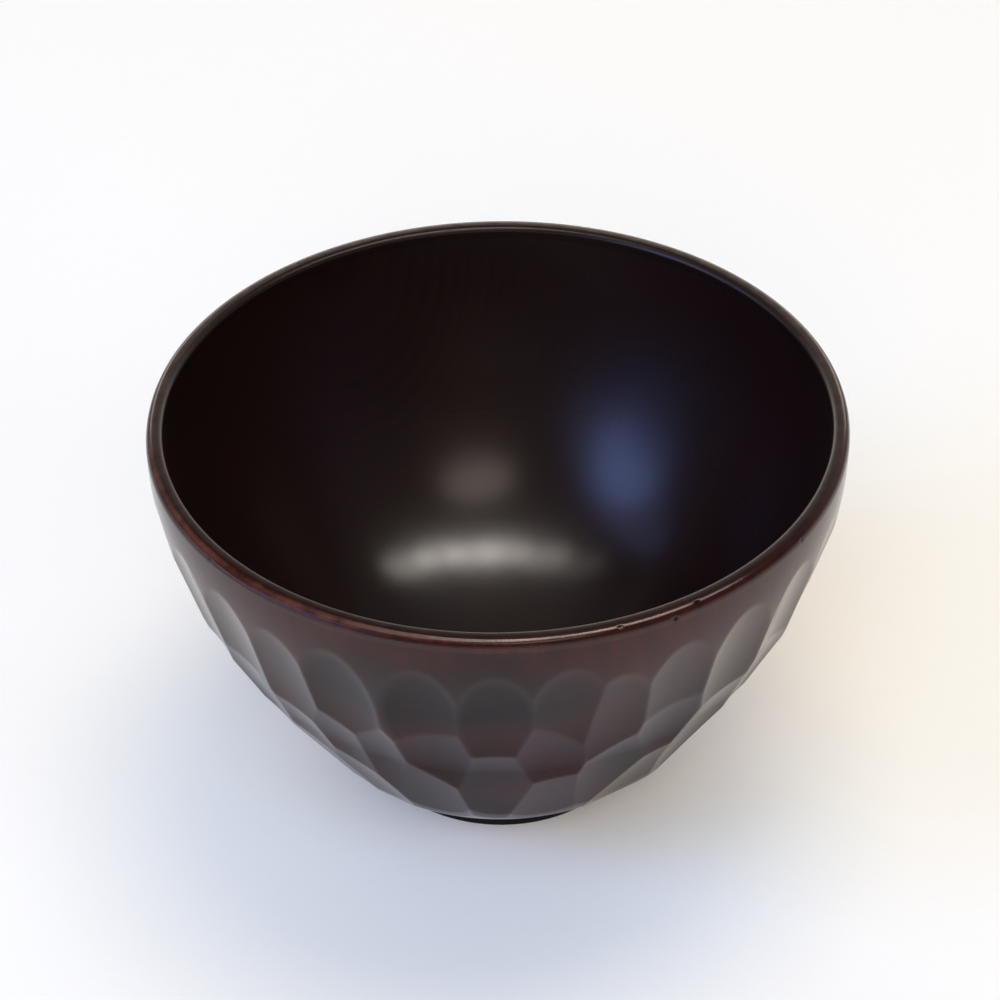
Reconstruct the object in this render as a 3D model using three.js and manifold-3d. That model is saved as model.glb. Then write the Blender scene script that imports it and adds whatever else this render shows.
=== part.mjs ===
// Lacquer bowl: a turned one-piece wooden core, its wall carved with a gouge, under five coats of lacquer.
// Millimetres, +Z up. The origin is the centre of the foot's resting face, and -Y is the front.
import * as THREE from "three";
import { mergeVertices } from "three/addons/utils/BufferGeometryUtils.js";
import Module from "manifold-3d";

// The finished bowl, lacquer included
const RIM_DIAMETER = 120;
const HEIGHT = 74;

// Lip: a flat top between two rounded edges, over a short upright band on each side
const LIP_WIDTH = 3;
const LIP_OUTER_ROUND = 1.2;
const LIP_INNER_ROUND = 0.6;
const RIM_BAND = 2.2;

// Foot: a low ring round a shallow recess
const FOOT_DIAMETER = 47.5;
const FOOT_HEIGHT = 5.5;
const FOOT_RING_WIDTH = 4;
const FOOT_EDGE_ROUND = 0.6;
const FOOT_RECESS_DEPTH = 5;
const FLOOR_THICKNESS = 6.5;

// Wall curves: how far each end keeps to its own direction before the curve turns
const BELLY_FOOT_PULL = 12.3;
const BELLY_RIM_PULL = 27.2;
const HOLLOW_FLOOR_PULL = 38;
const HOLLOW_RIM_PULL = 24;

// Lacquer: each coat lies on the wood over a thin sealer film, which is left as a gap
const COAT = 0.3;
const SEALER = 0.1;
const COAT_SEAM = 0.1;
const WOOD_INSET = COAT + SEALER;

// Gouge cuts: each row's depth, and the radius of the gouge that cut it
const UPPER_DEPTH = 1.2;
const UPPER_SWEEP = 34;
const MIDDLE_DEPTH = 1.4;
const MIDDLE_SWEEP = 30;
const LONG_DEPTH = 1.75;
const LONG_SWEEP = 36;
const LOWER_DEPTH = 1.6;
const LOWER_SWEEP = 36;

// Where the hand-made cuts lie: degrees round from the front, and the share of the wall's curve from the
// foot to the rim band. Below an upper cut is a middle and a lower one, or one long one.
const UPPER_CUTS = [
  [-86.5, 0.785], [-74.5, 0.785], [-62.5, 0.785], [-50.5, 0.785], [-39.5, 0.765],
  [-28, 0.785], [-13.5, 0.785], [-1, 0.78], [11, 0.79], [19.5, 0.74],
  [30.5, 0.775], [43, 0.785], [56.5, 0.785], [68.5, 0.785], [80.5, 0.785],
];
const MIDDLE_CUTS = [
  [-75, 0.64], [-51.5, 0.64], [-41.5, 0.55], [-31.5, 0.575], [-24, 0.565],
  [-12.5, 0.64], [8.5, 0.64], [31, 0.65], [56, 0.64], [80, 0.64],
];
const LONG_CUTS = [
  [-87, 0.52], [-63, 0.52], [-1, 0.505], [23, 0.505], [44, 0.53], [68.5, 0.52],
];
const LOWER_CUTS = [
  [-75, 0.44], [-54, 0.44], [-45, 0.43], [-34.5, 0.425], [-17, 0.455],
  [10, 0.425], [32.5, 0.415], [56, 0.43], [80, 0.43],
];

// The lists reach half round the bowl, and the back repeats the front
const CUT_REPEATS = 2;

// Fineness of the facets
const TURN_STEPS = 40;
const CURVE_STEPS = 10;
const ROUND_STEPS = 2;
const GOUGE_STEPS = 44;
const LEAST_ROUND = 0.05;
const WELD = 1e-4;

const RIM_RADIUS = RIM_DIAMETER / 2;
const MOUTH_RADIUS = RIM_RADIUS - LIP_WIDTH;
const BAND_Z = HEIGHT - RIM_BAND;
const FOOT_RADIUS = FOOT_DIAMETER / 2;
const RECESS_RADIUS = FOOT_RADIUS - FOOT_RING_WIDTH;
const FLOOR_Z = FOOT_RECESS_DEPTH + FLOOR_THICKNESS;

const wasm = await Module();
wasm.setup();

const point = (radius, z) => new THREE.Vector2(radius, z);
const radians = THREE.MathUtils.degToRad;

// The turned outside, from the foot up to the rim band
const wall = new THREE.CubicBezierCurve(
  point(FOOT_RADIUS, FOOT_HEIGHT),
  point(FOOT_RADIUS + BELLY_FOOT_PULL, FOOT_HEIGHT),
  point(RIM_RADIUS, BAND_Z - BELLY_RIM_PULL),
  point(RIM_RADIUS, BAND_Z),
);

// The turned inside, from the axis up to the rim band
const hollow = new THREE.CubicBezierCurve(
  point(0, FLOOR_Z),
  point(HOLLOW_FLOOR_PULL, FLOOR_Z),
  point(MOUTH_RADIUS, BAND_Z - HOLLOW_RIM_PULL),
  point(MOUTH_RADIUS, BAND_Z),
);

// The direction of a wall curve at a share of its length
function directionOf(curve, along) {
  const back = 1 - along;
  return new THREE.Vector2()
    .addScaledVector(curve.v1.clone().sub(curve.v0), back * back)
    .addScaledVector(curve.v2.clone().sub(curve.v1), 2 * along * back)
    .addScaledVector(curve.v3.clone().sub(curve.v2), along * along)
    .normalize();
}

// Points of a wall curve moved sideways: outwards or downwards where the distance is positive
function shiftedCurve(curve, distance) {
  return Array.from({ length: CURVE_STEPS + 1 }, (_, step) => {
    const along = step / CURVE_STEPS;
    const direction = directionOf(curve, along);
    const sideways = point(direction.y, -direction.x);
    return curve.getPoint(along).addScaledVector(sideways, distance);
  });
}

// Points of an arc about a centre, between two angles in degrees
function arc(centre, radius, from, to) {
  return Array.from({ length: ROUND_STEPS + 1 }, (_, step) => {
    const angle = radians(from + ((to - from) * step) / ROUND_STEPS);
    return point(centre.x + radius * Math.cos(angle), centre.y + radius * Math.sin(angle));
  });
}

// The lip's outline from outside to inside, moved into the wood by an inset
function lipOutline(inset) {
  const outer = Math.max(LIP_OUTER_ROUND - inset, LEAST_ROUND);
  const inner = Math.max(LIP_INNER_ROUND - inset, LEAST_ROUND);
  const top = HEIGHT - inset;
  return [
    ...arc(point(RIM_RADIUS - inset - outer, top - outer), outer, 0, 90),
    ...arc(point(MOUTH_RADIUS + inset + inner, top - inner), inner, 90, 180),
  ];
}

// The foot ring's outline below its top, from inside to outside, moved into the wood by an inset
function footOutline(inset) {
  const round = Math.max(FOOT_EDGE_ROUND - inset, LEAST_ROUND);
  return [
    ...arc(point(RECESS_RADIUS + inset + round, inset + round), round, 180, 270),
    ...arc(point(FOOT_RADIUS - inset - round, inset + round), round, 270, 360),
  ];
}

// A profile turned about the Z axis
function turned(profile) {
  return new THREE.LatheGeometry(profile, TURN_STEPS).rotateX(Math.PI / 2);
}

// A ring-shaped profile joined back to its first point
function turnedRing(profile) {
  return turned([...profile, profile[0].clone()]);
}

// Geometry to solid, with shared vertices joined and collapsed triangles left out
function solidOf(geometry) {
  const plain = geometry.clone();
  plain.deleteAttribute("normal");
  plain.deleteAttribute("uv");
  const welded = mergeVertices(plain, WELD);
  const corners = welded.index.array;
  const kept = [];
  for (let i = 0; i < corners.length; i += 3) {
    const [a, b, c] = corners.slice(i, i + 3);
    if (a !== b && b !== c && c !== a) kept.push(a, b, c);
  }
  const vertProperties = welded.attributes.position.array;
  const triVerts = new Uint32Array(kept);
  return new wasm.Manifold(new wasm.Mesh({ numProp: 3, vertProperties, triVerts }));
}

// Solid back to geometry
function geometryOf(solid) {
  const mesh = solid.getMesh();
  const geometry = new THREE.BufferGeometry();
  geometry.setAttribute("position", new THREE.BufferAttribute(mesh.vertProperties, 3));
  geometry.setIndex(new THREE.BufferAttribute(mesh.triVerts, 1));
  geometry.computeVertexNormals();
  return geometry;
}

// One row's cuts, all the way round the wall
function rowCuts(places, depth, sweep) {
  return Array.from({ length: CUT_REPEATS }, (_, repeat) => {
    const turn = (360 / CUT_REPEATS) * repeat;
    return places.map(([azimuth, along]) => ({ azimuth: azimuth + turn, along, depth, sweep }));
  }).flat();
}

// Every gouge cut in the wall
function gougeCuts() {
  return [
    ...rowCuts(UPPER_CUTS, UPPER_DEPTH, UPPER_SWEEP),
    ...rowCuts(MIDDLE_CUTS, MIDDLE_DEPTH, MIDDLE_SWEEP),
    ...rowCuts(LONG_CUTS, LONG_DEPTH, LONG_SWEEP),
    ...rowCuts(LOWER_CUTS, LOWER_DEPTH, LOWER_SWEEP),
  ];
}

// The round stroke of one cut: a straight cylinder along the wall, sunk to the cut's depth.
// It runs from the height of the foot's top to that of the rim, clear of the wall at both ends.
function gougeStroke(cut, inset) {
  const at = wall.getPoint(cut.along);
  const direction = directionOf(wall, cut.along);
  const below = (at.y - FOOT_HEIGHT) / direction.y;
  const above = (HEIGHT - at.y) / direction.y;
  const radius = cut.sweep + inset;
  const stroke = new THREE.CylinderGeometry(radius, radius, below + above, GOUGE_STEPS);
  stroke.rotateY(Math.PI / GOUGE_STEPS);
  stroke.translate(cut.sweep - cut.depth, (above - below) / 2, 0);

  const azimuth = radians(cut.azimuth);
  const outward = new THREE.Vector3(Math.sin(azimuth), -Math.cos(azimuth), 0);
  const up = new THREE.Vector3(0, 0, 1);
  const lie = (r, z) => outward.clone().multiplyScalar(r).addScaledVector(up, z);
  const normal = lie(direction.y, -direction.x);
  const tangent = lie(direction.x, direction.y);
  const across = normal.clone().cross(tangent);
  const place = new THREE.Matrix4().makeBasis(normal, tangent, across);
  stroke.applyMatrix4(place.setPosition(lie(at.x, at.y)));
  return solidOf(stroke);
}

// A turned blank with every cut taken out, for the layer that lies an inset below the finished surface
function carved(blank, inset) {
  return gougeCuts().reduce((left, cut) => left.subtract(gougeStroke(cut, inset)), solidOf(blank));
}

// Turned and carved wood in one piece, foot ring included
function woodCore() {
  const blank = turned([
    point(0, FOOT_RECESS_DEPTH + WOOD_INSET),
    point(RECESS_RADIUS + WOOD_INSET, FOOT_RECESS_DEPTH + WOOD_INSET),
    ...footOutline(WOOD_INSET),
    point(FOOT_RADIUS - WOOD_INSET, FOOT_HEIGHT + WOOD_INSET),
    ...shiftedCurve(wall, -WOOD_INSET),
    ...lipOutline(WOOD_INSET),
    ...shiftedCurve(hollow, WOOD_INSET).reverse(),
  ]);
  return geometryOf(carved(blank, WOOD_INSET));
}

// Coat on the inside, from the floor up to the rim band
function innerLacquer() {
  return turned([...shiftedCurve(hollow, COAT), ...shiftedCurve(hollow, 0).reverse()]);
}

// Coat that wraps the lip
function rimLacquer() {
  const edge = BAND_Z + COAT_SEAM;
  return turnedRing([
    point(RIM_RADIUS, edge),
    ...lipOutline(0),
    point(MOUTH_RADIUS, edge),
    point(MOUTH_RADIUS + COAT, edge),
    ...lipOutline(COAT).reverse(),
    point(RIM_RADIUS - COAT, edge),
  ]);
}

// Coat on the carved wall: the finished outside less the same outside one coat further in
function outerLacquer() {
  const outside = turned([point(0, FOOT_HEIGHT), ...shiftedCurve(wall, 0), point(0, BAND_Z)]);
  const inside = turned([
    point(0, FOOT_HEIGHT + COAT),
    ...shiftedCurve(wall, -COAT),
    point(RIM_RADIUS - COAT, HEIGHT),
    point(0, HEIGHT),
  ]);
  const footHole = turned([
    point(0, 0),
    point(FOOT_RADIUS + COAT_SEAM, 0),
    point(FOOT_RADIUS + COAT_SEAM, FOOT_HEIGHT + 2 * COAT),
    point(0, FOOT_HEIGHT + 2 * COAT),
  ]);
  return geometryOf(carved(outside, 0).subtract(carved(inside, COAT)).subtract(solidOf(footHole)));
}

// Coat on the foot ring: its outer wall, resting face and inner wall
function footLacquer() {
  const innerEdge = FOOT_RECESS_DEPTH - COAT_SEAM;
  return turnedRing([
    point(RECESS_RADIUS, innerEdge),
    ...footOutline(0),
    point(FOOT_RADIUS, FOOT_HEIGHT),
    point(FOOT_RADIUS - COAT, FOOT_HEIGHT),
    ...footOutline(COAT).reverse(),
    point(RECESS_RADIUS + COAT, innerEdge),
  ]);
}

// Coat on the ceiling of the foot's recess
function footRecessLacquer() {
  return turned([
    point(0, FOOT_RECESS_DEPTH),
    point(RECESS_RADIUS + COAT, FOOT_RECESS_DEPTH),
    point(RECESS_RADIUS + COAT, FOOT_RECESS_DEPTH + COAT),
    point(0, FOOT_RECESS_DEPTH + COAT),
  ]);
}

const finish = (color, roughness) => new THREE.MeshStandardMaterial({ color, roughness, metalness: 0 });
const bareWood = finish(0x9a7450, 0.7);
const darkLacquer = finish(0x1b1110, 0.35);
const brownLacquer = finish(0x3a2320, 0.3);
const wornLacquer = finish(0x352624, 0.35);
const blackLacquer = finish(0x0e0c0c, 0.3);

const group = new THREE.Group();

function addPiece(name, geometry, material) {
  const mesh = new THREE.Mesh(geometry, material);
  mesh.name = name;
  group.add(mesh);
}

addPiece("wood_core", woodCore(), bareWood);
addPiece("inner_lacquer", innerLacquer(), darkLacquer);
addPiece("rim_lacquer", rimLacquer(), wornLacquer);
addPiece("outer_lacquer", outerLacquer(), brownLacquer);
addPiece("foot_lacquer", footLacquer(), blackLacquer);
addPiece("foot_recess_lacquer", footRecessLacquer(), blackLacquer);

export default group;
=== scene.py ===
"""The looks of a lacquer bowl: its coats of lacquer, the wood below them, and a small studio."""
from math import cos, pi, radians, sin

import bmesh
import bpy
import numpy as np
from mathutils import Matrix, Vector


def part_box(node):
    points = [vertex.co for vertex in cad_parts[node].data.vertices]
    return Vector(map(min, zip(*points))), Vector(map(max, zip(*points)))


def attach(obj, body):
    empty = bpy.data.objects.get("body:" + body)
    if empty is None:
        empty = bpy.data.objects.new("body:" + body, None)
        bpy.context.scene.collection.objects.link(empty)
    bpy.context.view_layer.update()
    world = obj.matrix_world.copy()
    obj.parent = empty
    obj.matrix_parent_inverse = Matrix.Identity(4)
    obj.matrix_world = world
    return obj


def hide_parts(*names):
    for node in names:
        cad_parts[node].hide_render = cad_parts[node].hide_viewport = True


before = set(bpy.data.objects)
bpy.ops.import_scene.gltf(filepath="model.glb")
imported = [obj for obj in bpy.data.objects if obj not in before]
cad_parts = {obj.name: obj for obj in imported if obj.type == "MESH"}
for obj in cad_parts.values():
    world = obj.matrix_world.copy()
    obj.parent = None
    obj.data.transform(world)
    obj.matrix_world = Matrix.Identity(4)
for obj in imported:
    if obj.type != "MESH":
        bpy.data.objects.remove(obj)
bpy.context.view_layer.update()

MM = 0.001

# Sizes that the frame gives
rim_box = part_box("rim_lacquer")
hollow_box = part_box("inner_lacquer")
foot_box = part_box("foot_lacquer")
recess_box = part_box("foot_recess_lacquer")
COAT = recess_box[1].z - recess_box[0].z
RIM_RADIUS = rim_box[1].x
HEIGHT = rim_box[1].z
MOUTH_RADIUS = hollow_box[1].x - COAT
FLOOR_Z = hollow_box[0].z + COAT
BAND_Z = hollow_box[1].z
FOOT_RADIUS = foot_box[1].x
FOOT_HEIGHT = foot_box[1].z
RECESS_DEPTH = recess_box[0].z
RECESS_RADIUS = recess_box[1].x - COAT

# Driving sizes that the frame doesn't give
LIP_OUTER_ROUND = 1.2 * MM
LIP_INNER_ROUND = 0.6 * MM
FOOT_EDGE_ROUND = 0.6 * MM
BELLY_FOOT_PULL = 12.3 * MM
BELLY_RIM_PULL = 27.2 * MM
HOLLOW_FLOOR_PULL = 38 * MM
HOLLOW_RIM_PULL = 24 * MM

# Gouge cuts: each row's depth, and the radius of the gouge that cut it
UPPER_DEPTH = 1.2 * MM
UPPER_SWEEP = 34 * MM
MIDDLE_DEPTH = 1.4 * MM
MIDDLE_SWEEP = 30 * MM
LONG_DEPTH = 1.75 * MM
LONG_SWEEP = 36 * MM
LOWER_DEPTH = 1.6 * MM
LOWER_SWEEP = 36 * MM

# Where the hand-made cuts lie: degrees round from the front, and the share of the wall's curve from the
# foot to the rim band. The lists reach half round the bowl, and the back repeats the front.
UPPER_CUTS = (
    (-86.5, 0.785), (-74.5, 0.785), (-62.5, 0.785), (-50.5, 0.785), (-39.5, 0.765),
    (-28, 0.785), (-13.5, 0.785), (-1, 0.78), (11, 0.79), (19.5, 0.74),
    (30.5, 0.775), (43, 0.785), (56.5, 0.785), (68.5, 0.785), (80.5, 0.785),
)
MIDDLE_CUTS = (
    (-75, 0.64), (-51.5, 0.64), (-41.5, 0.55), (-31.5, 0.575), (-24, 0.565),
    (-12.5, 0.64), (8.5, 0.64), (31, 0.65), (56, 0.64), (80, 0.64),
)
LONG_CUTS = (
    (-87, 0.52), (-63, 0.52), (-1, 0.505), (23, 0.505), (44, 0.53), (68.5, 0.52),
)
LOWER_CUTS = (
    (-75, 0.44), (-54, 0.44), (-45, 0.43), (-34.5, 0.425), (-17, 0.455),
    (10, 0.425), (32.5, 0.415), (56, 0.43), (80, 0.43),
)
CUT_REPEATS = 2

# How far a stroke reaches round the wall, how soft and how wide its arrises are under the lacquer, and the
# depth from which a cut is fully hollow
STROKE_REACH = radians(17)
ARRIS_SOFTNESS = 0.1 * MM
ARRIS_WIDTH = 0.1 * MM
FULL_HOLLOW = 0.5 * MM

# The lip after use: its outer round at the front, its outer and inner rounds at the rear, how quickly one
# section turns into the other at the sides, and the outer round of the coat's hidden face, which lies
# between the worn face and the wood
WORN_ROUND = 1.8 * MM
REAR_OUTER_ROUND = 1.0 * MM
REAR_INNER_ROUND = 1.1 * MM
SIDE_CHANGE = 1.6
LIP_BACK_ROUND = 1.4 * MM

# The flat rubbed on the lip: its tilt and depth, the side of the bowl that is handled most, how much deeper
# the flat is there, and how closely that keeps to the side
RUBBED_TILT = radians(58)
RUBBED_DEPTH = 0.012 * MM
HANDLED_SIDE = radians(-50)
HANDLED_DEPTH = 0.10 * MM
HANDLED_FOCUS = 6

# Where the lip's colour is worn: the tilt, how far that reaches, the tilt from which the lip is fully dull,
# and the share of wear on the sides that are handled least
WORN_TILT = radians(53)
WORN_REACH = radians(24)
DULL_TILT = radians(20)
LEAST_WEAR = 0.35

# Nicks in the lip's outer round: azimuth and tilt in degrees, width and depth, and the depth from which a
# nick's painted shade is full
NICKS = (
    (32.0, 50, 0.9 * MM, 0.13 * MM),
    (27.7, 12, 0.8 * MM, 0.20 * MM),
    (55.5, 20, 0.6 * MM, 0.15 * MM),
    (18.6, 55, 0.7 * MM, 0.12 * MM),
    (-52.2, 25, 0.7 * MM, 0.15 * MM),
)
NICK_SHADE_DEPTH = 0.1 * MM

# Painted reflection: a dark area on the upper front cuts that stands for the shaded floor mirrored in them:
# its middle and its reach, round and upwards
PAINTED_REFLECTION_SIDE = radians(-12)
PAINTED_REFLECTION_SPREAD = radians(30)
PAINTED_REFLECTION_HEIGHT = 61 * MM
PAINTED_REFLECTION_REACH = 10.5 * MM

# Fineness of the meshes
WALL_TURNS = 1080
WALL_ROWS = 225
HIDDEN_ROW_STEP = 5
LIP_TURNS = 1440
LIP_STEPS = 24
PLAIN_TURNS = 360
HOLLOW_ROWS = 72
HIDDEN_ROWS = 24
ROUND_STEPS = 12
FLOOR_TURNS = 128
SHARP_ANGLE = radians(50)


# Curves and meshes

def bezier(corners, share):
    """Points of a cubic curve at values of its parameter from 0 to 1, as (radius, z)."""
    a, b, c, d = (np.array(corner) for corner in corners)
    t = np.asarray(share)[:, None]
    u = 1 - t
    return u**3 * a + 3 * u**2 * t * b + 3 * u * t**2 * c + t**3 * d


def bezier_direction(corners, share):
    """Unit directions of a cubic curve at values of its parameter from 0 to 1."""
    a, b, c, d = (np.array(corner) for corner in corners)
    t = np.asarray(share)[:, None]
    u = 1 - t
    slope = u**2 * (b - a) + 2 * u * t * (c - b) + t**2 * (d - c)
    return slope / np.linalg.norm(slope, axis=1, keepdims=True)


def sideways(direction):
    """The normal on the right of a direction in the (radius, z) plane: outwards from a rising wall."""
    return np.stack((direction[:, 1], -direction[:, 0]), axis=1)


WALL = (
    (FOOT_RADIUS, FOOT_HEIGHT),
    (FOOT_RADIUS + BELLY_FOOT_PULL, FOOT_HEIGHT),
    (RIM_RADIUS, BAND_Z - BELLY_RIM_PULL),
    (RIM_RADIUS, BAND_Z),
)
HOLLOW = (
    (0, FLOOR_Z),
    (HOLLOW_FLOOR_PULL, FLOOR_Z),
    (MOUTH_RADIUS, BAND_Z - HOLLOW_RIM_PULL),
    (MOUTH_RADIUS, BAND_Z),
)


def arc(centre, radius, start, end, steps=ROUND_STEPS):
    """Points of an arc in the (radius, z) plane, between two angles in degrees."""
    angles = np.radians(np.linspace(start, end, steps + 1))
    return np.array(centre) + radius * np.stack((np.cos(angles), np.sin(angles)), axis=1)


def azimuths(count):
    """Even steps round the turning axis. Zero faces -Y, and they grow towards +X."""
    return np.arange(count) * (2 * pi / count)


def turn_gap(turns, azimuth):
    """How far each turn is from an azimuth, the short way round."""
    return (turns - azimuth + pi) % (2 * pi) - pi


def spun(section, turns):
    """Points of a section turned about the axis, as rows x turns x 3."""
    section = np.asarray(section)
    radius = section[:, :1]
    around = np.asarray(turns)[None, :]
    height = section[:, 1:] * np.ones_like(around)
    return np.stack((radius * np.sin(around), -radius * np.cos(around), height), axis=2)


def mesh_object(name, vertices, faces, material):
    """An object with smooth faces that point outwards, split only at sharp edges."""
    mesh = bpy.data.meshes.new(name)
    mesh.from_pydata(vertices, [], faces)
    shape = bmesh.new()
    shape.from_mesh(mesh)
    bmesh.ops.recalc_face_normals(shape, faces=shape.faces)
    shape.to_mesh(mesh)
    shape.free()
    mesh.polygons.foreach_set("use_smooth", [True] * len(mesh.polygons))
    mesh.set_sharp_from_angle(angle=SHARP_ANGLE)
    mesh.materials.append(material)
    piece = bpy.data.objects.new(name, mesh)
    bpy.context.collection.objects.link(piece)
    return piece


def ring_faces(rows, turns):
    """Quads of a grid that closes both ways."""
    here = np.arange(rows * turns).reshape(rows, turns)
    up = np.roll(here, -1, axis=0)
    corners = (here, np.roll(here, -1, axis=1), np.roll(up, -1, axis=1), up)
    return np.stack(corners, axis=2).reshape(-1, 4)


def ring_object(name, grid, material):
    """A ring-shaped piece from a grid of points that closes both ways."""
    rows, turns, _ = grid.shape
    faces = ring_faces(rows, turns)
    return mesh_object(name, grid.reshape(-1, 3).tolist(), faces.tolist(), material)


def disc_object(name, section, turns, material):
    """A turned piece whose section starts and ends on the axis."""
    grid = spun(section[1:-1], azimuths(turns))
    rows = len(grid)
    last_row = (rows - 1) * turns
    faces = ring_faces(rows, turns)[:last_row].tolist()
    first_pole = rows * turns
    last_pole = first_pole + 1
    for turn in range(turns):
        after = (turn + 1) % turns
        faces.append((first_pole, turn, after))
        faces.append((last_pole, last_row + turn, last_row + after))
    poles = [(0, 0, section[0][1]), (0, 0, section[-1][1])]
    return mesh_object(name, grid.reshape(-1, 3).tolist() + poles, faces, material)


def add_attribute(piece, name, values):
    """A number at each point of a piece's mesh, for its material."""
    made = piece.data.attributes.new(name, "FLOAT", "POINT")
    made.data.foreach_set("value", np.asarray(values, dtype=np.float32).ravel())


def finish_piece(piece, node):
    """A piece of the bowl in place of a node of the frame."""
    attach(piece, "root")
    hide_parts(node)


# Carved wall

def gouge_cuts():
    """Every gouge cut in the wall: azimuth, share of the wall's curve, depth and gouge radius."""
    rows = (
        (UPPER_CUTS, UPPER_DEPTH, UPPER_SWEEP),
        (MIDDLE_CUTS, MIDDLE_DEPTH, MIDDLE_SWEEP),
        (LONG_CUTS, LONG_DEPTH, LONG_SWEEP),
        (LOWER_CUTS, LOWER_DEPTH, LOWER_SWEEP),
    )
    for places, depth, sweep in rows:
        for azimuth, along in places:
            for repeat in range(CUT_REPEATS):
                yield radians(azimuth + 360 / CUT_REPEATS * repeat), along, depth, sweep


def stroke_depth(points, normals, cut):
    """How far below each point of the wall a cut's round stroke leaves the wood."""
    azimuth, along, depth, sweep = cut
    at = bezier(WALL, [along])[0]
    direction = bezier_direction(WALL, [along])[0]
    outward = np.array((sin(azimuth), -cos(azimuth), 0))
    upward = np.array((0, 0, 1))
    tangent = direction[0] * outward + direction[1] * upward
    normal = direction[1] * outward - direction[0] * upward
    centre = at[0] * outward + at[1] * upward + (sweep - depth) * normal
    offset = points - centre
    offset = offset - (offset @ tangent)[..., None] * tangent
    across = normals - (normals @ tangent)[..., None] * tangent
    square = (across * across).sum(-1)
    half = (offset * across).sum(-1)
    spare = half**2 - square * ((offset * offset).sum(-1) - sweep**2)
    return np.where(spare > 0, (half + np.sqrt(np.maximum(spare, 0))) / square, -1)


def soft_maximum(first, second):
    """The larger of two depths, with the arris between them softened."""
    overlap = np.maximum(ARRIS_SOFTNESS - np.abs(first - second), 0)
    return np.maximum(first, second) + overlap**2 / (4 * ARRIS_SOFTNESS)


def carve(points, normals, turns):
    """The carving at each point of the wall: its depth, how hollow it is, and how near an arris is."""
    shape = points.shape[:2]
    depth = np.zeros(shape)
    deepest = np.zeros(shape)
    second = np.full(shape, -1.0)
    for cut in gouge_cuts():
        near = np.flatnonzero(np.abs(turn_gap(turns, cut[0])) < STROKE_REACH)
        here = stroke_depth(points[:, near], normals[:, near], cut)
        second[:, near] = np.maximum(second[:, near], np.minimum(deepest[:, near], here))
        deepest[:, near] = np.maximum(deepest[:, near], here)
        depth[:, near] = soft_maximum(depth[:, near], here)
    hollow = np.clip(depth / FULL_HOLLOW, 0, 1)
    arris = hollow * np.exp(-(deepest - second) / ARRIS_WIDTH)
    return depth, hollow, arris


def painted_reflection_share(points, turns):
    """How far each point of the wall lies in the dark area of painted reflection, from 0 to 1."""
    aside = turn_gap(turns, PAINTED_REFLECTION_SIDE) / PAINTED_REFLECTION_SPREAD
    above = (points[..., 2] - PAINTED_REFLECTION_HEIGHT) / PAINTED_REFLECTION_REACH
    return np.exp(-(aside[None, :] ** 2) - above**2)


def carved_coat(material):
    """The translucent coat over the carved outside, from the foot up to the rim."""
    turns = azimuths(WALL_TURNS)
    share = np.linspace(0, 1, WALL_ROWS + 1)
    points = spun(bezier(WALL, share), turns)
    normals = spun(sideways(bezier_direction(WALL, share)), turns)
    depth, hollow, arris = carve(points, normals, turns)
    # Where the wall carries the painted dark reflection of the shaded floor
    painted_reflection = painted_reflection_share(points, turns)
    outside = points - depth[..., None] * normals
    hidden_rows = slice(None, None, -HIDDEN_ROW_STEP)
    inside = (outside - COAT * normals)[hidden_rows]
    piece = ring_object("carved_coat", np.concatenate((outside, inside)), material)
    for name, values in (("arris", arris), ("hollow", hollow), ("painted_reflection", painted_reflection)):
        add_attribute(piece, name, np.concatenate((values, values[hidden_rows])))
    finish_piece(piece, "outer_lacquer")


# Turned coats

def lip_section(outer_round, inner_round, inset):
    """The lip's section from outside to inside, moved into the wood by an inset."""
    outer = outer_round - inset
    inner = inner_round - inset
    top = HEIGHT - inset
    outside = RIM_RADIUS - inset
    inside = MOUTH_RADIUS + inset
    return np.concatenate((
        [(outside, BAND_Z)],
        arc((outside - outer, top - outer), outer, 0, 90, LIP_STEPS),
        arc((inside + inner, top - inner), inner, 90, 180),
        [(inside, BAND_Z)],
    ))


def lip_face(outline, slant, held, turns):
    """The lip's outer face: rubbed flat where it is held in front, with rounds of its own at the rear."""
    rear_outline = lip_section(REAR_OUTER_ROUND, REAR_INNER_ROUND, 0)
    rubbed = np.array((cos(RUBBED_TILT), sin(RUBBED_TILT)))
    rub_depth = RUBBED_DEPTH + HANDLED_DEPTH * held**HANDLED_FOCUS
    excess = np.maximum((slant @ rubbed)[:, None] - (WORN_ROUND - rub_depth), 0)
    front = np.clip(0.5 + SIDE_CHANGE * np.cos(turns), 0, 1)[:, None]
    face = front * spun(outline, turns) + (1 - front) * spun(rear_outline, turns)
    return face - front * excess[..., None] * spun([rubbed], turns)


def nick_depth(tilt, turns):
    """How deep the nicks are at each point of the lip's outer face."""
    total = np.zeros((len(tilt), len(turns)))
    for azimuth, nick_tilt, width, depth in NICKS:
        along = turn_gap(turns, radians(azimuth))[None, :] * RIM_RADIUS
        across = (tilt[:, None] - radians(nick_tilt)) * WORN_ROUND
        total += depth * np.exp(-(along**2 + across**2) / (width / 2) ** 2)
    return total


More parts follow.
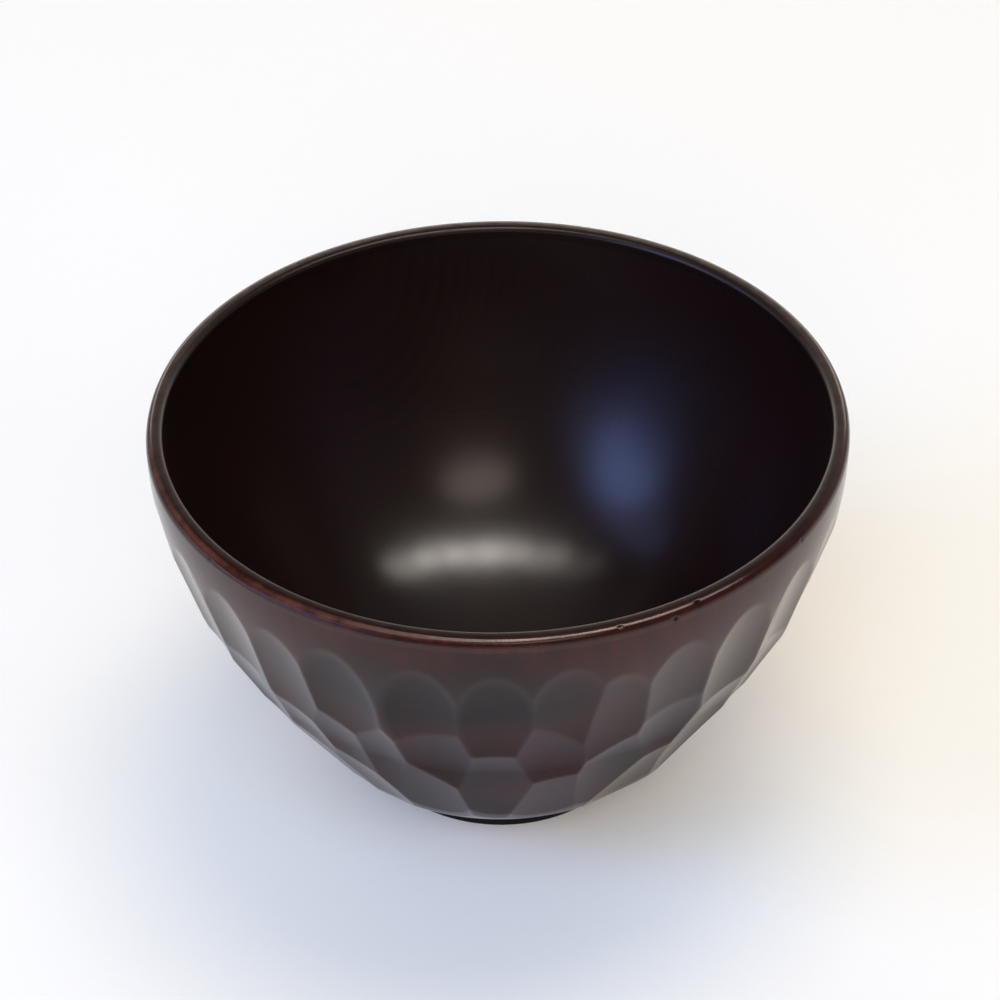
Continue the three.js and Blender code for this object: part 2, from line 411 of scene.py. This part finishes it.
def lip_coat(material):
    """The coat over the lip, rubbed by use and with small nicks knocked into its outer round."""
    turns = azimuths(LIP_TURNS)
    outline = lip_section(WORN_ROUND, LIP_INNER_ROUND, 0)
    slant = outline - np.array((RIM_RADIUS - WORN_ROUND, HEIGHT - WORN_ROUND))
    tilt = np.arctan2(slant[:, 1], slant[:, 0])
    held = np.clip(np.cos(turns - HANDLED_SIDE), 0, 1)
    dent = nick_depth(tilt, turns)
    inwards = spun(-np.stack((np.cos(tilt), np.sin(tilt)), axis=1), turns)
    face = lip_face(outline, slant, held, turns) + dent[..., None] * inwards
    hidden = spun(lip_section(LIP_BACK_ROUND, LIP_INNER_ROUND, COAT)[::-1], turns)
    piece = ring_object("lip_coat", np.concatenate((face, hidden)), material)
    handled = LEAST_WEAR + (1 - LEAST_WEAR) * held**2
    wear = np.exp(-((tilt - WORN_TILT) / WORN_REACH) ** 2)[:, None] * handled
    dulled = np.clip(tilt / DULL_TILT, 0, 1)[:, None] * handled
    # How far each nick is filled with painted shade, by its depth
    nick = np.clip(dent / NICK_SHADE_DEPTH, 0, 1)
    unseen = np.zeros(hidden.shape[:2])
    for name, values in (("wear", wear), ("dulled", dulled), ("nick", nick)):
        add_attribute(piece, name, np.concatenate((values, unseen)))
    finish_piece(piece, "rim_lacquer")


def inner_coat(material):
    """The near-black coat on the inside."""
    share = np.linspace(0, 1, HOLLOW_ROWS + 1)
    back_share = np.linspace(1, 0, HIDDEN_ROWS + 1)
    face = bezier(HOLLOW, share)
    back = bezier(HOLLOW, back_share) + COAT * sideways(bezier_direction(HOLLOW, back_share))
    piece = disc_object("inner_coat", np.concatenate((face, back)), PLAIN_TURNS, material)
    finish_piece(piece, "inner_lacquer")


def foot_section(inset):
    """The foot ring's section from inside to outside, moved into the wood by an inset."""
    edge = FOOT_EDGE_ROUND - inset
    inside = RECESS_RADIUS + inset
    outside = FOOT_RADIUS - inset
    return np.concatenate((
        [(inside, RECESS_DEPTH)],
        arc((inside + edge, inset + edge), edge, 180, 270),
        arc((outside - edge, inset + edge), edge, 270, 360),
        [(outside, FOOT_HEIGHT)],
    ))


def foot_coat(material):
    """The black coat on the foot ring."""
    section = np.concatenate((foot_section(0), foot_section(COAT)[::-1]))
    piece = ring_object("foot_coat", spun(section, azimuths(PLAIN_TURNS)), material)
    finish_piece(piece, "foot_lacquer")


def recess_coat(material):
    """The black coat on the ceiling of the foot's recess."""
    radii = np.linspace(0, RECESS_RADIUS + COAT, ROUND_STEPS + 1)
    below = np.stack((radii, np.full_like(radii, RECESS_DEPTH)), axis=1)
    above = below[::-1] + (0, COAT)
    piece = disc_object("recess_coat", np.concatenate((below, above)), PLAIN_TURNS, material)
    finish_piece(piece, "foot_recess_lacquer")


# Nodes of materials

# The Mix node's sockets for colours, by number because several of its sockets share a name
MIX_FACTOR = 0
MIX_FIRST = 6
MIX_SECOND = 7
MIX_RESULT = 2


def add_node(tree, kind, inputs=None, **settings):
    """A node with its settings, and its inputs set to values or linked to other nodes' outputs."""
    made = tree.nodes.new(kind)
    for name, value in settings.items():
        setattr(made, name, value)
    for name, value in (inputs or {}).items():
        if isinstance(value, bpy.types.NodeSocket):
            tree.links.new(value, made.inputs[name])
        else:
            made.inputs[name].default_value = value
    return made


def new_material(name):
    """An empty material, and its node tree."""
    material = bpy.data.materials.new(name)
    material.use_nodes = True
    tree = material.node_tree
    tree.nodes.clear()
    return material, tree


def mixed(tree, factor, first, second):
    """A colour between two colours."""
    inputs = {MIX_FACTOR: factor, MIX_FIRST: first, MIX_SECOND: second}
    return add_node(tree, "ShaderNodeMix", inputs, data_type="RGBA").outputs[MIX_RESULT]


def spread(tree, value, low, high, to_low=0.0, to_high=1.0):
    """A value's range stretched to another, clamped at both ends."""
    return add_node(tree, "ShaderNodeMapRange", {
        "Value": value, "From Min": low, "From Max": high, "To Min": to_low, "To Max": to_high,
    }).outputs["Result"]


def combined(tree, operation, first, second):
    """Two numbers joined by an operation such as ADD or MULTIPLY."""
    return add_node(tree, "ShaderNodeMath", {0: first, 1: second}, operation=operation).outputs["Value"]


def noise(tree, place, scale, detail, stretch=(1, 1, 1)):
    """Noise at a place, drawn out by a stretch of the place's scale."""
    moved = add_node(tree, "ShaderNodeMapping", {"Vector": place, "Scale": stretch})
    return add_node(tree, "ShaderNodeTexNoise", {
        "Vector": moved.outputs["Vector"], "Scale": scale, "Detail": detail,
    }).outputs["Fac"]


def bump(tree, height, distance, strength, normal=None):
    """A bumped normal from a height between 0 and 1."""
    inputs = {"Height": height, "Distance": distance, "Strength": strength}
    if normal is not None:
        inputs["Normal"] = normal
    return add_node(tree, "ShaderNodeBump", inputs).outputs["Normal"]


def surface(tree, colour, roughness, normal, ior=1.5, gloss=0.5, tint=(1, 1, 1, 1)):
    """A surface with some gloss, joined to the material's output."""
    shader = add_node(tree, "ShaderNodeBsdfPrincipled", {
        "Base Color": colour, "Roughness": roughness, "Normal": normal,
        "IOR": ior, "Specular IOR Level": gloss, "Specular Tint": tint,
    })
    add_node(tree, "ShaderNodeOutputMaterial", {"Surface": shader.outputs["BSDF"]})
    return shader


def object_place(tree):
    """The place of a point in its object's own frame."""
    return add_node(tree, "ShaderNodeTexCoord").outputs["Object"]


def height_of(tree, place):
    """The height of a place."""
    return add_node(tree, "ShaderNodeSeparateXYZ", {"Vector": place}).outputs["Z"]


def axis_distance(tree, place):
    """How far a place is from the turning axis."""
    parts = add_node(tree, "ShaderNodeSeparateXYZ", {"Vector": place}).outputs
    level = add_node(tree, "ShaderNodeCombineXYZ", {"X": parts["X"], "Y": parts["Y"]}).outputs["Vector"]
    return add_node(tree, "ShaderNodeVectorMath", {0: level}, operation="LENGTH").outputs["Value"]


def attribute(tree, name):
    """A number that the mesh keeps at its points."""
    return add_node(tree, "ShaderNodeAttribute", attribute_name=name).outputs["Fac"]


# Wood grain

# The tree that the bowl was turned from: an upright pith beside the bowl, the width of its growth rings, and
# how far and how finely they wander
PITH = (-55 * MM, 95 * MM, 0)
RING_WIDTH = 1.7 * MM
RING_WANDER = 2.5
RING_WANDER_SCALE = 0.25

# The period of Blender's wave texture at scale 1
WAVE_PERIOD = 2 * pi / 20

# How often pores come along x, y and z, in noise waves per metre
PORE_SCALE = (1400, 1400, 100)


def growth_rings(tree, place):
    """Growth rings about the upright pith, uneven as a tree's are."""
    moved = add_node(tree, "ShaderNodeMapping", {"Vector": place, "Location": [-v for v in PITH]})
    return add_node(tree, "ShaderNodeTexWave", {
        "Vector": moved.outputs["Vector"], "Scale": WAVE_PERIOD / RING_WIDTH,
        "Distortion": RING_WANDER, "Detail": 2.0, "Detail Scale": RING_WANDER_SCALE,
    }, wave_type="RINGS", rings_direction="Z", wave_profile="SAW").outputs["Fac"]


def pores(tree, place):
    """Fine pores drawn out along the upright grain."""
    return noise(tree, place, 1.0, detail=3.0, stretch=PORE_SCALE)


# Materials, with colours as red, green, blue and full opacity, and bumps as height and strength

# Ranges of a noise that are stretched to a full range: the narrower, the harder the edges of its patches
SOFT_NOISE = (0.25, 0.75)
EVEN_NOISE = (0.3, 0.7)
HARD_NOISE = (0.35, 0.65)
MANY_PORES = (0.5, 0.7)
FEW_PORES = (0.55, 0.75)

# Brown lacquer where it lies thin: dark and light flecks, and the wood's rings that show through
THIN_DARK = (0.013, 0.0042, 0.0040, 1)
THIN_LIGHT = (0.033, 0.0070, 0.0050, 1)
THIN_RINGS = (0.042, 0.0100, 0.0068, 1)
THIN_RING_RANGE = (0.15, 0.95)
THIN_RING_SHARE = 0.3
FLECK_SCALE = 260
FLECK_STRETCH = (1, 1, 0.35)

# Brown lacquer's pores, their share of its colour, and their bump
PORE_BROWN = (0.008, 0.0036, 0.0034, 1)
PORE_SHARE = 0.4
PORE_BUMP = (0.02 * MM, 0.3)


def thin_lacquer(tree, place):
    """The colour of the lacquer where it lies thin on the outside, and the wood's rings show through."""
    flecks = spread(tree, noise(tree, place, FLECK_SCALE, detail=2.0, stretch=FLECK_STRETCH), *EVEN_NOISE)
    thin = mixed(tree, flecks, THIN_DARK, THIN_LIGHT)
    rings = spread(tree, growth_rings(tree, place), *THIN_RING_RANGE, 0.0, THIN_RING_SHARE)
    return mixed(tree, rings, thin, THIN_RINGS)


# Outside: its clouds, the lacquer that pools in the cuts, the uneven edge of the painted dark reflection,
# and arrises worn redder and made lighter as a painted highlight
WALL_CLOUD_SCALE = 55
WALL_CLOUD_STRETCH = (1, 1, 0.6)
WALL_CLOUD_BUMP = (0.3 * MM, 0.3)
POOLED_DARK = (0.011, 0.0038, 0.0036, 1)
POOLED_LIGHT = (0.034, 0.0078, 0.0060, 1)
PAINTED_REFLECTION_BLACK = (0.0034, 0.0031, 0.0035, 1)
PAINTED_REFLECTION_UNEVEN = 0.35
PAINTED_REFLECTION_EDGE = (0.25, 0.75)
ARRIS_WEAR_AND_HIGHLIGHT = (0.060, 0.018, 0.011, 1)
ARRIS_RANGE = (0.15, 0.8)
ARRIS_SHARE = 0.8

# Outside: roughness, the tint of the gloss where it is seen straight on, and the gloss itself on the plain
# wall, in the cuts high up, under the painted dark reflection and low down, with the heights between which
# it grows
WALL_ROUGHNESS = (0.13, 0.18)
BROWN_GLOSS = (0.90, 0.62, 0.60, 1)
PLAIN_GLOSS = 0.5
CUT_GLOSS = 0.44
PAINTED_REFLECTION_GLOSS = 0.32
PAINTED_REFLECTION_GLOSS_RANGE = (0.2, 0.7)
LOW_GLOSS = 0.04
GLOSS_HEIGHTS = (36 * MM, 62 * MM)


def outer_material():
    """Translucent reddish brown lacquer: dark and duller where it pools in the cuts, redder where thin, with
    a painted dark reflection on the upper front and arrises lighter as a painted highlight.
    """
    material, tree = new_material("outer_lacquer")
    place = object_place(tree)
    fine = pores(tree, place)
    clouds = noise(tree, place, WALL_CLOUD_SCALE, detail=4.0, stretch=WALL_CLOUD_STRETCH)
    hollow = attribute(tree, "hollow")
    painted_reflection = attribute(tree, "painted_reflection")
    pooled = mixed(tree, spread(tree, clouds, *HARD_NOISE), POOLED_DARK, POOLED_LIGHT)
    deep = mixed(tree, hollow, thin_lacquer(tree, place), pooled)
    # The painted dark reflection of the shaded floor, with an uneven edge, laid over the lacquer's colour
    uneven = spread(tree, clouds, *EVEN_NOISE, -PAINTED_REFLECTION_UNEVEN, PAINTED_REFLECTION_UNEVEN)
    reflection_mask = spread(tree, combined(tree, "ADD", painted_reflection, uneven), *PAINTED_REFLECTION_EDGE)
    darkened = mixed(tree, reflection_mask, deep, PAINTED_REFLECTION_BLACK)
    pored = mixed(tree, spread(tree, fine, *MANY_PORES, 0.0, PORE_SHARE), darkened, PORE_BROWN)
    # Arrises: redder where the lacquer is worn, and lighter as a painted highlight
    worn = combined(tree, "MULTIPLY", attribute(tree, "arris"), clouds)
    colour = mixed(tree, spread(tree, worn, *ARRIS_RANGE, 0.0, ARRIS_SHARE), pored, ARRIS_WEAR_AND_HIGHLIGHT)
    roughness = spread(tree, clouds, *SOFT_NOISE, *WALL_ROUGHNESS)
    normal = bump(tree, fine, *PORE_BUMP, bump(tree, clouds, *WALL_CLOUD_BUMP))
    # Gloss is lowered under the painted dark reflection too
    upper_gloss = spread(tree, painted_reflection, *PAINTED_REFLECTION_GLOSS_RANGE, CUT_GLOSS, PAINTED_REFLECTION_GLOSS)
    hollow_gloss = spread(tree, height_of(tree, place), *GLOSS_HEIGHTS, LOW_GLOSS, upper_gloss)
    gloss = spread(tree, hollow, 0.0, 1.0, PLAIN_GLOSS, hollow_gloss)
    surface(tree, colour, roughness, normal, gloss=gloss, tint=BROWN_GLOSS)
    return material


# Inside: its clouds and the wood's rings, and its roughness on the floor and up the wall
INNER_CLOUD_SCALE = 40
INNER_CLOUD_BUMP = (0.3 * MM, 0.2)
INNER_PORE_BUMP = (0.004 * MM, 0.4)
INNER_DARK = (0.0066, 0.0022, 0.0022, 1)
INNER_LIGHT = (0.0100, 0.0030, 0.0029, 1)
INNER_RINGS = (0.014, 0.0040, 0.0036, 1)
INNER_RING_RANGE = (0.1, 0.9)
INNER_RING_SHARE = 0.5
INNER_FLOOR_ROUGHNESS = (0.20, 0.22)
INNER_WALL_ROUGHNESS = 0.31
INNER_ROUGH_HEIGHTS = (22 * MM, 50 * MM)
INNER_IOR = 1.6


def inner_material():
    """Satin near-black brown lacquer with a faint grain, duller up the wall than on the floor."""
    material, tree = new_material("inner_lacquer")
    place = object_place(tree)
    clouds = noise(tree, place, INNER_CLOUD_SCALE, detail=4.0)
    deep = mixed(tree, spread(tree, clouds, *EVEN_NOISE), INNER_DARK, INNER_LIGHT)
    rings = spread(tree, growth_rings(tree, place), *INNER_RING_RANGE, 0.0, INNER_RING_SHARE)
    colour = mixed(tree, rings, deep, INNER_RINGS)
    floor_roughness = spread(tree, clouds, *EVEN_NOISE, *INNER_FLOOR_ROUGHNESS)
    height = height_of(tree, place)
    roughness = spread(tree, height, *INNER_ROUGH_HEIGHTS, floor_roughness, INNER_WALL_ROUGHNESS)
    normal = bump(tree, pores(tree, place), *INNER_PORE_BUMP, bump(tree, clouds, *INNER_CLOUD_BUMP))
    surface(tree, colour, roughness, normal, INNER_IOR)
    return material


# Lip: its clouds, its colour inside and where it is worn, and the painted shade in a nick
LIP_CLOUD_SCALE = 320
LIP_CLOUD_BUMP = (0.10 * MM, 0.4)
LIP_BLACK = (0.0085, 0.0038, 0.0034, 1)
LIP_WORN = (0.105, 0.034, 0.021, 1)
LIP_WORN_RANGE = (0.22, 0.60)
LIP_WORN_SHARE = 0.9
NICK_PAINTED_SHADE = (0.012, 0.006, 0.005, 1)

# Lip: roughness between clouds, in them and in dulled ones, the share of its width over which the inside's
# roughness turns into this, the tint of its gloss, and the gloss itself where it is dulled and in a nick
LIP_SMOOTH = 0.14
LIP_ROUGH = 0.20
LIP_DULL_ROUGH = 0.26
LIP_ROUGH_SHARE = 0.25
DULL_RANGE = (0.6, 0.9)
LIP_GLOSS = (1.0, 0.86, 0.83, 1)
DULL_GLOSS = 0.28
NICK_GLOSS = 0.10
NICK_GLOSS_RANGE = (0.4, 1.0)


def rim_material():
    """Dark lacquer that turns from the inside's near-black to the outside's brown, worn along the edge, with
    painted shade in its nicks.
    """
    material, tree = new_material("rim_lacquer")
    place = object_place(tree)
    radius = axis_distance(tree, place)
    outwards = spread(tree, radius, MOUTH_RADIUS + LIP_INNER_ROUND, RIM_RADIUS - LIP_OUTER_ROUND / 2)
    clouds = noise(tree, place, LIP_CLOUD_SCALE, detail=5.0)
    fine = pores(tree, place)
    nick = attribute(tree, "nick")
    dulled = attribute(tree, "dulled")
    coat = mixed(tree, outwards, LIP_BLACK, thin_lacquer(tree, place))
    pored = mixed(tree, spread(tree, fine, *FEW_PORES, 0.0, PORE_SHARE), coat, PORE_BROWN)
    rubbed = combined(tree, "MULTIPLY", attribute(tree, "wear"), clouds)
    worn = mixed(tree, spread(tree, rubbed, *LIP_WORN_RANGE, 0.0, LIP_WORN_SHARE), pored, LIP_WORN)
    # Painted shade in the nicks
    colour = mixed(tree, nick, worn, NICK_PAINTED_SHADE)
    cloud_roughness = spread(tree, dulled, *DULL_RANGE, LIP_ROUGH, LIP_DULL_ROUGH)
    lip_roughness = spread(tree, clouds, *EVEN_NOISE, LIP_SMOOTH, cloud_roughness)
    roughness = spread(tree, outwards, 0.0, LIP_ROUGH_SHARE, INNER_WALL_ROUGHNESS, lip_roughness)
    normal = bump(tree, fine, *PORE_BUMP, bump(tree, clouds, *LIP_CLOUD_BUMP))
    lip_gloss = spread(tree, dulled, *DULL_RANGE, PLAIN_GLOSS, DULL_GLOSS)
    gloss = spread(tree, nick, *NICK_GLOSS_RANGE, lip_gloss, NICK_GLOSS)
    surface(tree, colour, roughness, normal, gloss=gloss, tint=LIP_GLOSS)
    return material


# Foot: its clouds, and where it is rubbed as it stands
FOOT_CLOUD_SCALE = 90
FOOT_CLOUD_BUMP = (0.1 * MM, 0.3)
FOOT_DARK = (0.0028, 0.0026, 0.0027, 1)
FOOT_LIGHT = (0.0045, 0.0038, 0.0038, 1)
FOOT_RUBBED = (0.035, 0.024, 0.019, 1)
FOOT_RUBBED_RANGE = (0.4, 0.8)
FOOT_RUBBED_SHARE = 0.7
FOOT_ROUGHNESS = (0.20, 0.50)
FULLY_RUBBED = 0.8
FOOT_IOR = 1.26


def foot_material():
    """Satin black lacquer, rubbed a little duller where it stands."""
    material, tree = new_material("foot_lacquer")
    place = object_place(tree)
    clouds = noise(tree, place, FOOT_CLOUD_SCALE, detail=5.0)
    resting = spread(tree, height_of(tree, place), 0, FOOT_EDGE_ROUND, 1.0, 0.0)
    rubbed = combined(tree, "MULTIPLY", resting, clouds)
    dark = mixed(tree, clouds, FOOT_DARK, FOOT_LIGHT)
    worn = spread(tree, rubbed, *FOOT_RUBBED_RANGE, 0.0, FOOT_RUBBED_SHARE)
    colour = mixed(tree, worn, dark, FOOT_RUBBED)
    roughness = spread(tree, rubbed, 0.0, FULLY_RUBBED, *FOOT_ROUGHNESS)
    surface(tree, colour, roughness, bump(tree, clouds, *FOOT_CLOUD_BUMP), FOOT_IOR)
    return material


# Wood: its colour early and late in a year's ring, and its pores
WOOD_EARLY = (0.33, 0.165, 0.075, 1)
WOOD_LATE = (0.19, 0.082, 0.034, 1)
WOOD_PORES = (0.10, 0.042, 0.018, 1)
WOOD_PORE_SHARE = 0.6
WOOD_PORE_BUMP = (0.05 * MM, 0.6)
WOOD_ROUGHNESS = (0.5, 0.65)


def wood_material():
    """Sealed hardwood with upright grain."""
    material, tree = new_material("wood")
    place = object_place(tree)
    rings = growth_rings(tree, place)
    fine = pores(tree, place)
    grained = mixed(tree, rings, WOOD_EARLY, WOOD_LATE)
    colour = mixed(tree, spread(tree, fine, *FEW_PORES, 0.0, WOOD_PORE_SHARE), grained, WOOD_PORES)
    roughness = spread(tree, rings, 0.0, 1.0, *WOOD_ROUGHNESS)
    surface(tree, colour, roughness, bump(tree, fine, *WOOD_PORE_BUMP))
    return material


# Floor

# Paper: its fibres, and a faint glow that stands for light from the rest of the room
FIBRE_SCALE = 400
FIBRE_BUMP = (0.02 * MM, 0.2)
PAPER_DARK = (0.85, 0.85, 0.85, 1)
PAPER_LIGHT = (0.87, 0.87, 0.87, 1)
PAPER_ROUGHNESS = 0.9
PAPER_IOR = 1.2
PAPER_GLOW = 0.11
WHITE = (1, 1, 1, 1)

# The floor's shape in metres: the radii of its inner rings, and where and how far its far edge rises
FLOOR_RINGS = (0.3, 1.0)
FLOOR_FLAT_RADIUS = 2.4
FLOOR_RISE = 0.62


def paper_material():
    """Plain white paper."""
    material, tree = new_material("paper")
    fibres = noise(tree, object_place(tree), FIBRE_SCALE, detail=3.0)
    colour = mixed(tree, fibres, PAPER_DARK, PAPER_LIGHT)
    shader = surface(tree, colour, PAPER_ROUGHNESS, bump(tree, fibres, *FIBRE_BUMP), PAPER_IOR)
    shader.inputs["Emission Color"].default_value = WHITE
    shader.inputs["Emission Strength"].default_value = PAPER_GLOW
    return material


def paper_floor():
    """A wide floor whose far edge rises a little all round, so that it fills a low view too."""
    flat = [(radius, 0.0) for radius in FLOOR_RINGS]
    section = np.concatenate((flat, arc((FLOOR_FLAT_RADIUS, FLOOR_RISE), FLOOR_RISE, 270, 360)))
    grid = spun(section, azimuths(FLOOR_TURNS))
    rows = len(grid)
    faces = ring_faces(rows, FLOOR_TURNS)[: (rows - 1) * FLOOR_TURNS].tolist()
    faces.append(list(range(FLOOR_TURNS)))
    floor = mesh_object("paper_floor", grid.reshape(-1, 3).tolist(), faces, paper_material())


# Lights, with places in degrees, distances and sizes in metres, and brightness as radiance

# The row of ceiling lamps, which shows only in gloss: azimuth, elevation, the direction of a lamp's long
# side seen from above, and radiance
CEILING_ROW = (
    (85, 57.5, 31, 4.5),
    (64, 66, 21, 7.0),
    (35, 74, 8.5, 7.0),
    (-5, 75.5, 0, 6.9),
    (-55, 71, -10, 4.0),
    (-83, 62, -15, 0.8),
)
CEILING_DISTANCE = 1.0
CEILING_LAMP = (0.36, 0.15)
LAMP_WHITE = (1.0, 0.95, 0.87)

# Soft keys and washes, which light only matt colour: name, azimuth, elevation, radiance and colour
KEYS = (
    ("front_key", -15, 58, 4.0, (0.50, 0.77, 1.0)),
    ("low_key", -5, 35, 4.6, (1.0, 0.78, 0.54)),
    ("top_key", 150, 80, 5.0, (1.0, 0.79, 0.46)),
    ("rear_key", 120, 65, 1.6, (0.76, 0.82, 1.0)),
    ("left_wash", -75, 25, 8.5, (0.30, 0.50, 1.0)),
    ("right_wash", 60, 25, 2.5, (0.86, 0.88, 1.0)),
)
KEY_DISTANCE = 1.2
KEY_SIZE = (0.6, 0.6)

# Windows and fills, which show in gloss: name, azimuth, elevation, distance, size, radiance, colour, and
# whether they light matt colour too
WINDOWS = (
    ("rear_window", 180, 22, 1.2, (2.0, 0.45), 2.6, (1.0, 0.94, 0.82), True),
    ("front_fill", 12, 48, 1.2, (0.58, 0.28), 2.1, (1.0, 0.84, 0.74), True),
    ("low_front", 5, 10, 1.3, (1.5, 0.3), 0.3, (0.97, 1.0, 1.0), True),
    ("blue_window", -62, 27, 0.6, (0.31, 0.31), 2.9, (0.28, 0.42, 1.0), False),
    ("blue_sky", -68, 22, 1.2, (1.7, 1.1), 0.7, (0.36, 0.48, 1.0), False),
    ("left_card", -75, 3, 1.0, (1.5, 0.13), 2.5, (1.0, 0.97, 0.95), False),
)

# The room round them: on the camera's side, behind the bowl low down and higher up, and at the ceiling
ROOM_DIM = (0.08, 0.08, 0.08, 1)
ROOM_REAR = (0.50, 0.49, 0.46, 1)
ROOM_REAR_TOP = (0.15, 0.15, 0.145, 1)
ROOM_CEILING = (0.22, 0.22, 0.21, 1)

# Where the room changes, by the y or z of a sight line of length 1
REAR_RANGE = (0.15, 0.75)
REAR_TOP_RANGE = (0.45, 0.80)
CEILING_RANGE = (0.75, 0.95)


def direction_from(azimuth, elevation):
    """The direction from the bowl to something seen at an azimuth and an elevation in degrees."""
    turn = radians(azimuth)
    rise = radians(elevation)
    return Vector((sin(turn) * cos(rise), -cos(turn) * cos(rise), sin(rise)))


def soft_light(name, azimuth, elevation, distance, size, radiance, colour, twist=0, matt=True, gloss=True):
    """An elliptical soft light that faces the bowl: it lights matt colour, shows in gloss, or both."""
    width, height = size
    light = bpy.data.lights.new(name, "AREA")
    light.shape = "ELLIPSE"
    light.size = width
    light.size_y = height
    light.color = colour
    area = pi / 4 * width * height
    light.energy = radiance * pi * area
    lamp = bpy.data.objects.new(name, light)
    towards = direction_from(azimuth, elevation)
    place = Matrix.Translation(Vector((0, 0, HEIGHT / 2)) + distance * towards)
    facing = towards.to_track_quat("Z", "Y").to_matrix().to_4x4()
    lamp.matrix_world = place @ facing @ Matrix.Rotation(radians(twist), 4, "Z")
    lamp.visible_camera = False
    lamp.visible_diffuse = matt
    lamp.visible_glossy = gloss
    bpy.context.collection.objects.link(lamp)


def all_lights():
    """The ceiling's lamps, the keys and washes, and the windows and fills."""
    for number, (azimuth, elevation, lie, radiance) in enumerate(CEILING_ROW):
        place = (azimuth, elevation, CEILING_DISTANCE)
        look = (CEILING_LAMP, radiance, LAMP_WHITE)
        soft_light(f"ceiling_{number}", *place, *look, twist=lie - azimuth, matt=False)
    for name, azimuth, elevation, radiance, colour in KEYS:
        soft_light(name, azimuth, elevation, KEY_DISTANCE, KEY_SIZE, radiance, colour, gloss=False)
    for name, azimuth, elevation, distance, size, radiance, colour, matt in WINDOWS:
        soft_light(name, azimuth, elevation, distance, size, radiance, colour, matt=matt)


def room_light():
    """The room: bright low down behind the bowl and at the ceiling, dim on the camera's side."""
    world = bpy.data.worlds.new("room")
    bpy.context.scene.world = world
    world.use_nodes = True
    tree = world.node_tree
    tree.nodes.clear()
    sight = add_node(tree, "ShaderNodeTexCoord").outputs["Generated"]
    parts = add_node(tree, "ShaderNodeSeparateXYZ", {"Vector": sight}).outputs
    rear = mixed(tree, spread(tree, parts["Z"], *REAR_TOP_RANGE), ROOM_REAR, ROOM_REAR_TOP)
    walls = mixed(tree, spread(tree, parts["Y"], *REAR_RANGE), ROOM_DIM, rear)
    colour = mixed(tree, spread(tree, parts["Z"], *CEILING_RANGE), walls, ROOM_CEILING)
    sky = add_node(tree, "ShaderNodeBackground", {"Color": colour, "Strength": 1.0})
    add_node(tree, "ShaderNodeOutputWorld", {"Surface": sky.outputs["Background"]})


# Camera of the photograph
CAMERA_PLACE = (0, -0.4802, 0.4337)
CAMERA_AIM = (0.0002, 0, 0.0554)
CAMERA_ROLL = radians(-0.837)
CAMERA_LENS = 126.5
CAMERA_SENSOR = 36


def photo_camera():
    """The camera where the photograph was taken from."""
    camera = bpy.data.objects.new("camera", bpy.data.cameras.new("camera"))
    camera.data.lens = CAMERA_LENS
    camera.data.sensor_width = CAMERA_SENSOR
    look = (Vector(CAMERA_AIM) - Vector(CAMERA_PLACE)).to_track_quat("-Z", "Y").to_matrix().to_4x4()
    camera.matrix_world = Matrix.Translation(CAMERA_PLACE) @ look @ Matrix.Rotation(CAMERA_ROLL, 4, "Z")
    bpy.context.collection.objects.link(camera)
    bpy.context.scene.camera = camera


carved_coat(outer_material())
lip_coat(rim_material())
inner_coat(inner_material())
foot_lacquer = foot_material()
foot_coat(foot_lacquer)
recess_coat(foot_lacquer)
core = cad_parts["wood_core"]
core.data.materials.clear()
core.data.materials.append(wood_material())
paper_floor()
room_light()
all_lights()
photo_camera()
bpy.context.scene.view_settings.view_transform = "Standard"
